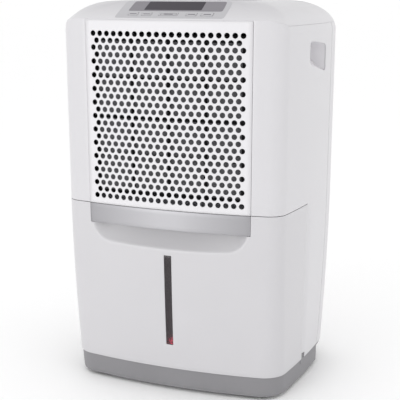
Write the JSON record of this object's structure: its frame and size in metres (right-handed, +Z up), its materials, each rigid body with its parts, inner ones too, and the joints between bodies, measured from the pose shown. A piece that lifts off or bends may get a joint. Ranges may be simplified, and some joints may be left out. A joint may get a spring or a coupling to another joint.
{
  "type": "dehumidifier",
  "caption": "Upright household dehumidifier with a perforated intake grille, a sloping control panel, a pull-out water bucket with a level window, and hidden casters.",
  "frame": {"origin": "centre of the footprint on the floor, under the caster wheels", "axes": "+Z up, the front with the grille and bucket faces -Y, and +X is to the right in a view of the front"},
  "size_m": [0.386, 0.3, 0.602],
  "materials": {
    "white_shell": "satin moulded white plastic",
    "grille_white": "white plastic, fine satin",
    "grey_base": "grey moulded plastic, fine texture",
    "silver_trim": "silver paint on plastic",
    "smoke_lens": "smoke tinted clear plastic",
    "tub_plastic": "translucent grey plastic",
    "lid_plastic": "white plastic",
    "panel_film": "printed film",
    "panel_grey": "printed grey film",
    "display_dark": "dark display window",
    "dark_plastic": "dark moulded plastic",
    "filter_net": "fine nylon net",
    "red_float": "red plastic",
    "foam": "closed cell foam",
    "steel": "zinc plated steel",
    "sheet_steel": "galvanised sheet",
    "fins": "aluminium fins",
    "copper": "copper tube",
    "black_paint": "black enamel",
    "rubber": "black rubber",
    "circuit": "green circuit board",
    "hose": "clear grey hose"
  },
  "bodies": {
    "casing": {"base_tray": "grey_base", "cabinet": "white_shell", "rear_housing": "white_shell", "top_cover": "white_shell", "handle_cup_left": "white_shell", "handle_cup_right": "white_shell", "control_overlay": "panel_film", "display_bezel": "panel_grey", "display_window": "display_dark", "control_board": "circuit", "exhaust_louvre": "white_shell", "exhaust_duct": "dark_plastic", "deck": "sheet_steel", "drain_trough": "dark_plastic", "drain_spout": "dark_plastic", "drain_hose": "hose", "evaporator_coil": "fins", "condenser_coil": "fins", "refrigerant_pipes": "copper", "compressor": "black_paint", "compressor_mounts": "rubber", "compressor_bolts": "steel", "fan_scroll": "dark_plastic", "fan_motor": "sheet_steel", "run_capacitor": "lid_plastic", "bucket_switch": "dark_plastic", "humidity_sensor": "lid_plastic", "cord_gland": "dark_plastic", "casing_screws": "steel", "caster_bushes": "steel"},
    "grille": {"intake_grille": "grille_white", "filter_frame": "dark_plastic", "filter_mesh": "filter_net"},
    "bucket": {"bucket_fascia": "white_shell", "bucket_trim": "silver_trim", "window_lens": "smoke_lens", "bucket_tub": "tub_plastic", "bucket_lid": "lid_plastic", "handle_pins": "steel", "float_pin": "steel"},
    "bail": {"bucket_handle": "lid_plastic"},
    "level_float": {"level_float": "red_float"},
    "shutoff_float": {"shutoff_float": "foam"},
    "blower": {"blower_wheel": "dark_plastic", "blower_shaft": "steel"},
    "switch_lever": {"switch_lever": "red_float"},
    "key_power": {"key_power": "panel_film"},
    "key_mode": {"key_mode": "panel_film"},
    "key_box": {"key_box": "panel_film"},
    "key_fan": {"key_fan": "panel_film"},
    "key_timer": {"key_timer": "panel_film"},
    "fork_1": {"caster_fork_1": "dark_plastic"},
    "wheel_1": {"caster_wheel_1": "rubber"},
    "fork_2": {"caster_fork_2": "dark_plastic"},
    "wheel_2": {"caster_wheel_2": "rubber"},
    "fork_3": {"caster_fork_3": "dark_plastic"},
    "wheel_3": {"caster_wheel_3": "rubber"},
    "fork_4": {"caster_fork_4": "dark_plastic"},
    "wheel_4": {"caster_wheel_4": "rubber"}
  },
  "joints": [
    {"name": "bucket_slide", "type": "slide", "parent": "casing", "child": "bucket", "axis": [0, -1, 0], "range_m": [0, 0.26]},
    {"name": "bail_swing", "type": "hinge", "parent": "bucket", "child": "bail", "pos_m": [0, -0.06, 0.216], "axis": [1, 0, 0], "range_deg": [0, 67]},
    {"name": "level_rise", "type": "slide", "parent": "bucket", "child": "level_float", "axis": [0, 0, 1], "range_m": [0, 0.135]},
    {"name": "shutoff_rise", "type": "hinge", "parent": "bucket", "child": "shutoff_float", "pos_m": [-0.1, -0.006, 0.214], "axis": [-1, 0, 0], "range_deg": [0, 8]},
    {"name": "grille_pull", "type": "slide", "parent": "casing", "child": "grille", "axis": [0, -1, 0], "range_m": [0, 0.08]},
    {"name": "blower_spin", "type": "hinge", "parent": "casing", "child": "blower", "pos_m": [-0.035, 0, 0.42], "axis": [0, 1, 0], "continuous": true},
    {"name": "switch_press", "type": "hinge", "parent": "casing", "child": "switch_lever", "pos_m": [0.12, 0.0108, 0.264], "axis": [1, 0, 0], "range_deg": [0, 4], "stiffness_Nm_per_rad": 0.05},
    {"name": "key_power_press", "type": "slide", "parent": "casing", "child": "key_power", "axis": [0, 0.4545, -0.8908], "range_m": [0, 0.0007], "stiffness_N_per_m": 300},
    {"name": "key_mode_press", "type": "slide", "parent": "casing", "child": "key_mode", "axis": [0, 0.4545, -0.8908], "range_m": [0, 0.0007], "stiffness_N_per_m": 300},
    {"name": "key_box_press", "type": "slide", "parent": "casing", "child": "key_box", "axis": [0, 0.4545, -0.8908], "range_m": [0, 0.0007], "stiffness_N_per_m": 300},
    {"name": "key_fan_press", "type": "slide", "parent": "casing", "child": "key_fan", "axis": [0, 0.4545, -0.8908], "range_m": [0, 0.0007], "stiffness_N_per_m": 300},
    {"name": "key_timer_press", "type": "slide", "parent": "casing", "child": "key_timer", "axis": [0, 0.4545, -0.8908], "range_m": [0, 0.0007], "stiffness_N_per_m": 300},
    {"name": "swivel_1", "type": "hinge", "parent": "casing", "child": "fork_1", "pos_m": [-0.132, -0.097, 0.03], "axis": [0, 0, 1], "continuous": true},
    {"name": "wheel_spin_1", "type": "hinge", "parent": "fork_1", "child": "wheel_1", "pos_m": [-0.132, -0.088, 0.012], "axis": [1, 0, 0], "continuous": true},
    {"name": "swivel_2", "type": "hinge", "parent": "casing", "child": "fork_2", "pos_m": [0.132, -0.097, 0.03], "axis": [0, 0, 1], "continuous": true},
    {"name": "wheel_spin_2", "type": "hinge", "parent": "fork_2", "child": "wheel_2", "pos_m": [0.132, -0.088, 0.012], "axis": [1, 0, 0], "continuous": true},
    {"name": "swivel_3", "type": "hinge", "parent": "casing", "child": "fork_3", "pos_m": [-0.132, 0.106, 0.03], "axis": [0, 0, 1], "continuous": true},
    {"name": "wheel_spin_3", "type": "hinge", "parent": "fork_3", "child": "wheel_3", "pos_m": [-0.132, 0.115, 0.012], "axis": [1, 0, 0], "continuous": true},
    {"name": "swivel_4", "type": "hinge", "parent": "casing", "child": "fork_4", "pos_m": [0.132, 0.106, 0.03], "axis": [0, 0, 1], "continuous": true},
    {"name": "wheel_spin_4", "type": "hinge", "parent": "fork_4", "child": "wheel_4", "pos_m": [0.132, 0.115, 0.012], "axis": [1, 0, 0], "continuous": true}
  ]
}
